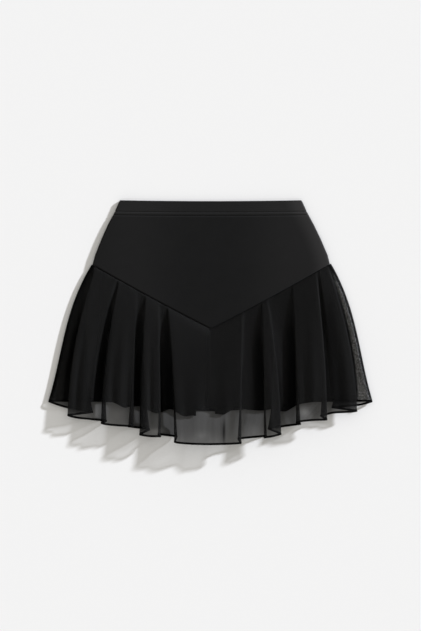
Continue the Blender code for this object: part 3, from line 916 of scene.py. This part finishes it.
def soft_line(controls):
    """Smooth line along a polygon: it touches the middle of each leg and starts and ends on it.

    controls is (levels, points, values). Each inner point bends one parabola, cut into CURVE_STEPS
    pieces: (1-t)^2 begin + 2 t (1-t) bend + t^2 end.
    """
    starts = (controls[:, :-1] + controls[:, 1:]) / 2
    starts[:, 0] = controls[:, 0]
    starts[:, -1] = controls[:, -1]
    bends = controls[:, 1:-1, None]
    begin, end = starts[:, :-1, None], starts[:, 1:, None]
    part = (np.arange(CURVE_STEPS) / CURVE_STEPS)[None, None, :, None]
    curve = (1 - part) ** 2 * begin + 2 * part * (1 - part) * bends + part**2 * end
    flat = curve.reshape(controls.shape[0], -1, controls.shape[2])
    return np.concatenate([flat, controls[:, -1:]], axis=1)


def crease_rise(start, fall):
    """Height that the creases add to each point of the flounce.

    Each one is depth * exp(-(distance / width)^2) across, with the distance measured on the crest,
    and a soft step from start to full down the fall. start is the x where a column leaves the seam.
    """
    flutes = {flute.name: flute for flute in FLUTES}
    rise = np.zeros(start.shape)
    for crease in CREASES:
        left, right = flutes[crease.flute].left, flutes[crease.flute].right
        top = right.top - left.top
        span = between(top, right.edge - left.edge, flute_spread(fall))
        line = between(crease.top_part, crease.hem_part, fall)
        far = ((start - left.top) / top - line) * span
        down = step(fall, crease.start, crease.full - crease.start)
        rise += crease.depth * bell(far, crease.width) * down
    return rise


def front_flounce_grid():
    """Points of the front flounce: flat at the V seam, falling into flutes that lean outwards."""
    fall = np.linspace(0.0, 1.0, FLOUNCE_ROWS) ** FLOUNCE_POWER
    lines = side_fold("left", fall)
    lines += [strip_point(row, fall) for row in LEFT_STRIP]
    for flute in FLUTES:
        lines += flute_side(flute, -1, fall)
        lines += flute_crest(flute, fall)
        lines += flute_side(flute, 1, fall)
    lines += [strip_point(row, fall) for row in RIGHT_STRIP]
    lines += side_fold("right", fall)
    sheet = soft_line(np.stack(lines, axis=1))
    # The column that starts nearest to the V's point is moved onto it
    start = sheet[:, :, 3]
    near = np.argmin(np.abs(start[0]))
    part = start[0, near] / (start[0, near + 1] - start[0, near])
    sheet[:, near] -= (sheet[:, near + 1] - sheet[:, near]) * part
    fall = fall[:, None]
    seam_y, seam_z = seam_point(start)
    y = sheet[:, :, 1] + seam_y * (1.0 - fall)
    z = sheet[:, :, 2] + seam_z * (1.0 - fall)
    grid = np.stack((sheet[:, :, 0], y, z), axis=-1)
    grid = grid + normals(grid) * crease_rise(start, fall)[:, :, None]
    x = grid[:, :, 0]
    fill = np.sqrt(x * x + POINT_FILL_WIDTH**2) - np.abs(x)
    steep = (1.0 - fall) * np.maximum(fall, FALL_LEAST) ** (FLUTE_RISE - 1.0)
    grid[:, :, 2] += POINT_FILL * (steep * smooth(fall / POINT_FILL_RUN)) * fill
    grid[:, :, 2] -= DITCH * (1.0 - smooth(run_lengths(grid)[1] / FLOUNCE_DITCH_RUN))
    return grid


def side_lines(y):
    """Share of the fall at height y, and x of the flounce's left and right sides there."""
    fall = np.clip((SEAM_END_Y - y) / (SEAM_END_Y - CORNER_Y), 0.0, 1.0)
    spread = side_spread(fall)
    left = between(side_x(SEAM_END_Y, "left"), -CORNER_X, spread)
    return fall, left, between(side_x(SEAM_END_Y, "right"), CORNER_X, spread)


def panel(sides, top, bottom, height, columns, down, thick):
    """Grid of a flat-lying panel between two side lines and two cross lines.

    sides gives both x at a height y, top and bottom give y at a place x, height gives z. The
    outermost columns go round the fold at the sides in even turns, up to the gap at the seam.
    """
    radius = (BAND_HEIGHT - thick) / 2
    turn = np.linspace(0.0, math.acos(SIDE_GAP / 2 / radius), SIDE_TURNS + 1)[1:]
    run = np.linspace(-1.0, 1.0, columns + 1)
    across = np.concatenate([-np.ones(SIDE_TURNS), run, np.ones(SIDE_TURNS)])
    out = np.concatenate([-np.sin(turn)[::-1], 0.0 * run, np.sin(turn)])
    down = down[:, None]
    y = between(top(0.0), bottom(0.0), down)
    for _ in range(4):  # until x and y fit each other
        turned = (loop_height(y) - thick) / 2
        left, right = sides(y)
        x = np.where(across < 0.0, -left - turned, right - turned) * across + turned * out
        y = between(top(x), bottom(x), down)
    return np.stack((x, y, height(x, y)), axis=-1)


def back_flounce_grid():
    """Grid of the back flounce: flat on the floor and turned up at its sides."""

    def sides(y):
        _, left, right = side_lines(y)
        return left + CHIFFON / 2, right - CHIFFON / 2

    def top(x):
        return back_seam(x) - SEAM_GAP

    def height(x, y):
        left, right = sides(y)
        return SIDE_HEIGHT / 2 - side_turn(np.minimum(x - left, right - x), y, JERSEY)

    return panel(sides, top, back_hem, height, 180, np.linspace(0.0, 1.0, 61), JERSEY)


# Marks on the flounces, which the chiffon reads at each point


def open_side(grid):
    """1 on the sheer strip along the right side, outside the last flute, and 0 elsewhere."""
    fall, _, right = side_lines(grid[:, :, 1])
    edge = np.maximum(fold_x(FLUTES[-1].right, fall), right - STRIP_WIDTH)
    return step(grid[:, :, 0] - edge, *STRIP_EDGE) * step(fall, *STRIP_FALL)


def open_weave(grid):
    """How much sheerer than its mean the flounce is, as a share of light.

    It is sheerer along the right side, where the cloth is pulled flat, and denser on the left and
    over the outer flutes, where it lies doubled.
    """
    x, y = grid[:, :, 0], grid[:, :, 1]
    fall, left, right = side_lines(y)
    free = smooth((1.0 - fall) / HEM_FREE)
    strip = open_side(grid)
    side = smooth((SIDE_DENSE - np.minimum(x - left, right - x)) / SIDE_DENSE)
    strip_share = STRIP_SHEER + STRIP_HEM_SHEER * step(fall, *STRIP_HEM)
    left_share = DENSE_LEFT - DENSE_LEFT_LESS * step(fall, *DENSE_LEFT_HEM)
    dense = DENSE_RIGHT * (step(x, *OUTER_RIGHT) * (1.0 - strip) * free)
    dense_left = left_share * (step(-x, *OUTER_LEFT) * free)
    sheer = (strip_share * strip - dense - dense_left) * (1.0 - side)
    for spot in SPOTS:
        far = ((x - spot.x) / spot.wide) ** 2 + ((y - spot.y) / spot.high) ** 2
        sheer = sheer + spot.sheer * np.exp(-far)
    return sheer - DENSE_SEAM * side * free


def line_shade(x, y, row):
    """Soft shade across a line: exp(-(distance / width)^2), and its width grows as sqrt(fall)."""
    part = np.clip((row.top_y - y) / (row.top_y - row.hem_y), 0.0, 1.0)
    far = x - row.top_x - (row.hem_x - row.top_x) * part
    width = np.where(far < 0.0, row.left, row.right) * np.sqrt(part) + SHADE_LEAST
    return smooth(part / SHADE_START) * bell(far, width)


def seam_dark_and_shade(grid):
    """Dark by the side seams: three layers sewn together there, with painted shade on the fold."""
    _, left, right = side_lines(grid[:, :, 1])
    inside = np.minimum(grid[:, :, 0] - left, right - grid[:, :, 0])
    return smooth((SIDE_DARK - inside) / (SIDE_DARK - SEAM_WIDTH))


def painted_valley_shade(grid):
    """How deep a point of the flounce lies in the shade of the crests beside it, painted as black:
    0 to 1.

    It is a soft step of the steepest slope up to a neighbour in its row, (z' - z) / (x' - x), which
    fades in below the seam and ends at the inner right flute's edge. It is at least that of the
    shades, depth * exp(-(distance / width)^2) across each one's line, and fades out towards the
    flat sides.
    """
    x, y, z = grid[:, :, 0], grid[:, :, 1], grid[:, :, 2]
    steep, top = np.zeros(z.shape), z.copy()
    for reach in range(1, VALLEY_REACH + 1):
        run = np.maximum(np.abs(x[:, reach:] - x[:, :-reach]), NEAREST)
        slope = (z[:, reach:] - z[:, :-reach]) / run
        steep[:, :-reach] = np.maximum(steep[:, :-reach], slope)
        steep[:, reach:] = np.maximum(steep[:, reach:], -LEFT_SHARE * slope)
        top[:, :-reach] = np.maximum(top[:, :-reach], z[:, reach:])
    down = np.linspace(0.0, 1.0, len(grid))[:, None] ** FLOUNCE_POWER
    fall, left, right = side_lines(y)
    depth = step(steep, *VALLEY_SLOPE) * step(down, *VALLEY_FALL)
    depth *= 1.0 - step(x - fold_x(FLUTES[-2].right, fall), *VALLEY_END)
    below = step(top - z, *BELOW_CREST)
    for shade in SHADES:
        deep = shade.depth * line_shade(x, y, shade)
        depth = np.maximum(depth, deep * (below if shade.under else 1.0))
    inside = np.minimum(x - left, right - x)
    depth = depth * step(inside, *OFF_SIDE) * (1.0 - STRIP_LIGHT * open_side(grid))
    return np.maximum(depth, seam_dark_and_shade(grid))


# Forms of the yokes and the shorts


def yoke_grid(bottom, height, columns, rows):
    """Grid of a yoke between the sides, the waistband and a bottom line, its rows closer below."""

    def sides(y):
        y = np.maximum(y, SEAM_END_Y)
        return side_x(y, "left") + JERSEY_THICK / 2, side_x(y, "right") - JERSEY_THICK / 2

    def top(x):
        return waist_edge(x, BAND_DEPTH - TUCK_UP)

    down = 0.5 - 0.5 * np.cos(np.linspace(0.0, math.pi, rows + 1))
    return panel(sides, top, bottom, height, columns, down, JERSEY_THICK)


def under_band(grid):
    """How much a yoke's top edge gives way to the waistband that it reaches under."""
    below = waist_edge(grid[:, :, 0], BAND_DEPTH - TUCK_UP) - grid[:, :, 1]
    return TUCK_DOWN * (1.0 - smooth(below / TUCK_RUN))


def middle_seam(y):
    """Where the legs meet at height y: a line that swings a little to the left."""
    return np.interp(-y, (-WAIST_Y, -CROTCH[1], -PARTING[1]), (0.0, CROTCH[0], PARTING[0]))


def shorts_grid(leg):
    """One leg: a single sheet folded at its outer side, its inner edges at the middle seam."""
    down = 1.0 - (1.0 - np.linspace(0.0, 1.0, LEG_ROWS)[:, None]) ** LEG_ROWS_POWER
    waist = WAIST_Y - BAND_DEPTH - SEAM_GAP - LEG_TOP
    low = JERSEY + LAYER_GAP + SHORTS / 2
    radius = (SHORTS + LAYER_GAP) / 2
    turn = np.linspace(-math.pi / 2, math.pi / 2, LEG_TURNS)
    run = np.linspace(0.0, 1.0, LEG_ROWS)[:-1]
    part = np.concatenate([run, np.ones(LEG_TURNS), run[::-1]])
    bulge = np.concatenate([run * 0.0, np.cos(turn), run * 0.0])
    up = np.concatenate([run * 0.0 - 1.0, np.sin(turn), run * 0.0 + 1.0])
    out_y = between(waist, leg.hem_out_y, down)
    out_x = leg_out(leg, out_y) - radius - SHORTS_THICK / 2
    in_y = between(waist, leg.hem_in_y, down)
    meeting = middle_seam(in_y) * leg.side + LEG_GAP / 2
    in_x = between(meeting, leg.hem_in, smooth((PARTING[1] - in_y) / LEG_CURVE))
    x = between(in_x, out_x, part) + radius * bulge
    y = between(in_y, out_y, part)
    hem_x = x[-1] * leg.side
    drop = sum(wave.drop * bell(hem_x - wave.x, wave.width) for wave in SHORTS_WAVES)
    y = y - drop * down**WAVE_POWER
    z = low + radius * (1.0 + up) + 0.0 * down
    grid = np.stack((x * leg.side, y, z), axis=-1)
    return grid if leg.side < 0 else grid[:, ::-1]


def raised_nap(x, y):
    """Painted highlight on the jersey where light falls: most along the right side, a little on
    both halves.
    """
    places = ((LIGHT_LEFT, -x), (LIGHT_RIGHT, x), (LIGHT_EDGE, x - side_x(y, "right")))
    return sum(nap.much * step(far, nap.start, nap.width) for nap, far in places)


# What a user would change


def colour(name, description, default):
    """A colour that a user may change, with its hex default."""
    return bpy.props.FloatVectorProperty(
        name=name, description=description, default=linear(default), size=4, min=0.0, max=1.0,
        subtype="COLOR",
    )


class SkortCloth(bpy.types.PropertyGroup):
    """Sizes and colours of the cloth."""

    jersey_dark: colour("Jersey, dark", "Darker tone of the matte jersey", "#0a0a0a")
    jersey_light: colour("Jersey, light", "Lighter tone of the matte jersey", "#111111")
    chiffon: colour("Chiffon", "Colour of the sheer flounce's thread", "#0f0f0f")
    cover: bpy.props.FloatProperty(
        name="Cover", description="Share of the light that one layer of chiffon hides",
        default=0.74, min=0.2, max=0.95, subtype="FACTOR",
    )


class SkortStage(bpy.types.PropertyGroup):
    """Floor, light and camera."""

    floor: colour("Floor", "Colour of the paper floor", "#ededed")
    key: bpy.props.FloatProperty(
        name="Key light", description="Strength of the low light from the right", default=5.44
    )
    fill: bpy.props.FloatProperty(
        name="Fill", description="Strength of the light from all round", default=0.57
    )
    key_height: bpy.props.FloatProperty(
        name="Key height", description="Angle of the key light above the floor",
        default=math.radians(17.0), subtype="ANGLE",
    )


# The finishes


def jersey_material():
    # Viscose jersey, knitted and left matte: deep black with fine ribs down the cloth, and a
    # painted grey highlight towards its sides, where the low light falls on them
    cloth = bpy.context.scene.skort_cloth
    return made(
        "matte_knit_jersey", knit_material, cloth.jersey_dark, cloth.jersey_light,
        linear("#2a2929"), wale_mm=0.9, course_mm=0.7, sheen=0.20, bump_mm=0.10,
    )


def band_material():
    # The same jersey stretched over an elastic: closer ribs, and a shade greyer than the yoke; its
    # third colour is the painted highlight where the low light falls
    return made(
        "matte_elastic_jersey", knit_material, linear("#141414"), linear("#191919"),
        linear("#302f2f"), wale_mm=0.8, course_mm=0.7, sheen=0.22, bump_mm=0.08,
    )


def sheer_material():
    # Polyester chiffon, plain woven from crimped thread: a dark veil without gloss, through which
    # the paper and the shorts show, blacker wherever it lies doubled, and painted black as shade in
    # its valleys and by its side seams
    cloth = bpy.context.scene.skort_cloth
    return made("sheer_woven_chiffon", chiffon_material, cloth.chiffon, cloth.cover, thread_mm=0.5)


def thread_material():
    # Spun polyester thread: small dark stitches with a faint gloss on their rounds
    return made("black_polyester_thread", plain_material, linear("#141414"), 0.5)


def overlock(name, path):
    """An overlocked edge, lying flat along a path."""
    # Wound polyester thread, dull all over: a black line in the seam, which in the V seam also
    # stands in for the shade in its ditch
    cord = made("dark_overlock_edge", plain_material, linear("#040404"), 0.9, specular=0.05)
    straight_up = np.zeros(path.shape) + (0.0, 0.0, 1.0)
    return put_roll(name, [(path, straight_up)], CORD_HALF, cord)


def rolled_edge(name, paths, half):
    """A rolled hem along edges of the chiffon."""
    # Chiffon rolled in three layers that hide all the light: a thin black rim on the sheer cloth
    roll = made("rolled_chiffon_edge", plain_material, DEEP_BLACK, 0.8, specular=0.05)
    return put_roll(name, paths, half, roll)


# The pieces


def put_chiffon(name, grid, depth):
    """One open surface of sheer cloth: the grid itself, rows downwards and columns to the right."""
    index = np.arange(grid[:, :, 0].size).reshape(grid.shape[:2])
    uv = np.stack(run_lengths(grid), axis=-1).reshape(-1, 2)
    # The depth mark is painted shade, with the own dark of the side seams
    marks = {"sheer": open_weave(grid), "crinkle": open_side(grid), "depth": depth}
    marks = {mark: values.ravel() for mark, values in marks.items()}
    return put_mesh(name, grid.reshape(-1, 3), quads(index), sheer_material(), uv, marks)


class MakeWaistband(bpy.types.Operator):
    """The elastic waistband: a flattened loop with a stitched groove above its lower seam"""

    bl_idname = "skort.waistband"
    bl_label = "Waistband"

    def execute(self, context):
        radius = (BAND_HEIGHT - BAND_ROOM) / 2
        turn = np.linspace(0.0, math.pi, BAND_TURNS)
        run = np.linspace(-1.0, 1.0, BAND_COLUMNS)[1:-1]
        ends = np.ones(BAND_TURNS)
        along = np.concatenate([run, ends, run[::-1], -ends])
        bulge = np.concatenate([run * 0.0, np.sin(turn), run * 0.0, -np.sin(turn)])
        up = np.concatenate([run * 0.0 + 1.0, np.cos(turn), run * 0.0 - 1.0, -np.cos(turn)])
        depths = np.linspace(0.0, BAND_DEPTH, BAND_ROWS)[:, None]
        heights = WAIST_Y - depths
        corner = CORNER_ROUND * np.clip(1.0 - depths / BAND_CORNER, 0.0, 1.0) ** 2
        left = side_x(heights, "left") + BAND_ROOM / 2 + radius + corner
        right = side_x(heights, "right") - BAND_ROOM / 2 - radius - corner
        x = (left + right) / 2 + along * (right - left) / 2 + bulge * radius
        z = BAND_HEIGHT / 2 + up * radius + 0.0 * depths
        grid = np.stack((x, waist_edge(x, depths), z), axis=-1)
        relief = GROOVE.rise * bell(depths - GROOVE.depth, GROOVE.width)
        rows = np.cos(2.0 * math.pi * depths / RIBS.width)
        relief = relief + RIBS.rise * rows * (depths < RIBS.depth)
        relief = relief + RIDGE.rise * bell(depths - RIDGE.depth, RIDGE.width)
        relief = relief + DIP.rise * step(depths, DIP.depth, DIP.width)
        up = normals(grid, ring=True)
        grid = grid + up * relief[:, :, None]
        # Painted highlight: lighter towards both sides, most along the right one, where the low
        # light falls
        tone = raised_nap(x, heights)
        band = put_shell("waistband_cloth", grid, BAND_THICK, band_material(), ring=True, nap=tone)
        row = np.argmin(np.abs(depths[:, 0] - GROOVE.depth))
        path = grid[row] + up[row] * BAND_THICK / 2
        stitches = put_stitches("band_stitches", path, up[row], BAND_STITCH, thread_material())
        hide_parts("waistband")
        return {"FINISHED"}


class MakeYokes(bpy.types.Operator):
    """The front yoke with its V point and the plain back yoke"""

    bl_idname = "skort.yokes"
    bl_label = "Yokes"

    def execute(self, context):
        front = yoke_grid(point_seam, yoke_height, 200, 90)
        x, y = front[:, :, 0], front[:, :, 1]
        front[:, :, 2] -= DITCH * (1.0 - smooth((y - point_seam(x)) / YOKE_DITCH_RUN))
        front[:, :, 2] -= under_band(front)
        # Painted highlight: lighter towards both sides, most along the right one, where the low
        # light falls
        tone = raised_nap(x, y)
        piece = put_shell("yoke_front_cloth", front, JERSEY_THICK, jersey_material(), nap=tone)
        path = front[-1] - (0.0, SLANT_GAP / 2, 0.0)
        path = path[np.abs(path[:, 0]) < side_x(SEAM_END_Y, "right") - SIDE_HEIGHT]
        # Painted shade: the black cord also darkens the V seam's ditch, as its shade would
        overlock("yoke_seam_edge", path)
        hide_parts("yoke_front")
        back = yoke_grid(back_seam, yoke_back_height, 100, 40)
        back[:, :, 2] += under_band(back)
        piece = put_shell("yoke_back_cloth", back, JERSEY_THICK, jersey_material())
        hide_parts("yoke_back")
        return {"FINISHED"}


class MakeShorts(bpy.types.Operator):
    """The legs of the inner shorts, each folded at its outer side, and the seam that joins them"""

    bl_idname = "skort.shorts"
    bl_label = "Shorts"

    def execute(self, context):
        y = np.linspace(SEAM_END_Y, PARTING[1], LEG_ROWS)
        z = JERSEY + 2.0 * (SHORTS + LAYER_GAP) - SHORTS / 2 + SHORTS_THICK / 2 + 0.0 * y
        path = np.stack((middle_seam(y), y, z), axis=-1)
        overlock("shorts_rise_seam", path)
        for leg in LEGS:
            grid = shorts_grid(leg)
            piece = put_shell(leg.name + "_cloth", grid, SHORTS_THICK, jersey_material())
            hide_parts(leg.name)
        return {"FINISHED"}


class MakeBackFlounce(bpy.types.Operator):
    """The back flounce, pressed flat on the floor, with its rolled hem"""

    bl_idname = "skort.back_flounce"
    bl_label = "Back flounce"

    def execute(self, context):
        grid = back_flounce_grid()
        # Painted shade along its turned-up sides, with the dark of its side seams
        piece = put_chiffon("skirt_back_cloth", grid, seam_dark_and_shade(grid))
        roll = rolled_edge("skirt_back_hem", [(grid[-1], normals(grid)[-1])], HEM_HALF)
        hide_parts("skirt_back")
        return {"FINISHED"}


class MakeFrontFlounce(bpy.types.Operator):
    """The front flounce with its flutes, rolled hem and side seams"""

    bl_idname = "skort.front_flounce"
    bl_label = "Front flounce"

    def execute(self, context):
        grid = front_flounce_grid()
        up = normals(grid)
        # Painted shade in the valleys between the flutes, and along the side seams
        piece = put_chiffon("skirt_front_cloth", grid, painted_valley_shade(grid))
        hem = rolled_edge("skirt_front_hem", [(grid[-1], up[-1])], HEM_HALF)
        sides = [(grid[:, 0], up[:, 0]), (grid[:, -1], up[:, -1])]
        seams = rolled_edge("skirt_side_seams", sides, SIDE_SEAM_HALF)
        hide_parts("skirt_front")
        return {"FINISHED"}


class MakeStage(bpy.types.Operator):
    """Paper floor, low key light from the right, even fill and the camera straight above"""

    bl_idname = "skort.stage"
    bl_label = "Floor, light and camera"

    def execute(self, context):
        stage = context.scene.skort_stage
        mesh = bpy.data.meshes.new("floor")
        corners = ((-1, -1), (1, -1), (1, 1), (-1, 1))
        corners = [(x * FLOOR_HALF, y * FLOOR_HALF, 0.0) for x, y in corners]
        mesh.from_pydata(corners, [], [(0, 1, 2, 3)])
        # Uncoated paper: an even pale grey without shine
        mesh.materials.append(made("matte_paper", plain_material, stage.floor, 0.9, specular=0.1))
        put_object("floor", mesh)

        sun = bpy.data.lights.new("key_light", "SUN")
        sun.energy = stage.key
        sun.angle = math.radians(SUN_WIDE)
        sun.color = SUN_COLOUR
        lean = math.radians(90.0) - stage.key_height
        put_object("key_light", sun).rotation_euler = (lean, 0.0, math.radians(SUN_HEADING))

        world = bpy.data.worlds.new("even_fill")
        world.use_nodes = True
        background = world.node_tree.nodes["Background"]
        background.inputs["Color"].default_value = FILL_COLOUR
        background.inputs["Strength"].default_value = stage.fill
        context.scene.world = world

        lens = bpy.data.cameras.new("camera")
        lens.sensor_fit = "VERTICAL"
        lens.sensor_height = SENSOR
        lens.lens = LENS
        camera = put_object("camera", lens)
        camera.location = (*VIEW_MIDDLE, VIEW_HIGH * LENS / SENSOR + CLOTH_HIGH)
        context.scene.camera = camera
        context.scene.view_settings.view_transform = "Standard"
        return {"FINISHED"}


OPERATORS = (MakeWaistband, MakeYokes, MakeShorts, MakeBackFlounce, MakeFrontFlounce, MakeStage)


class SkortPanel(bpy.types.Panel):
    """Lists the skort's pieces and what can be changed"""

    bl_idname = "VIEW3D_PT_skort"
    bl_label = "Skort laid flat"
    bl_space_type = "VIEW_3D"
    bl_region_type = "UI"
    bl_category = "Skort"

    def draw(self, context):
        for group in (context.scene.skort_cloth, context.scene.skort_stage):
            column = self.layout.column()
            for name in group.bl_rna.properties.keys():
                if name not in ("rna_type", "name"):
                    column.prop(group, name)
        for operator in OPERATORS:
            self.layout.operator(operator.bl_idname)


CLASSES = (SkortCloth, SkortStage, *OPERATORS, SkortPanel)


def register():
    for kind in CLASSES:
        bpy.utils.register_class(kind)
    bpy.types.Scene.skort_cloth = bpy.props.PointerProperty(type=SkortCloth)
    bpy.types.Scene.skort_stage = bpy.props.PointerProperty(type=SkortStage)


def unregister():
    del bpy.types.Scene.skort_stage
    del bpy.types.Scene.skort_cloth
    for kind in reversed(CLASSES):
        bpy.utils.unregister_class(kind)


def main():
    register()
    for operator in OPERATORS:
        getattr(bpy.ops.skort, operator.bl_idname.split(".")[1])()


if __name__ == "__main__":
    main()
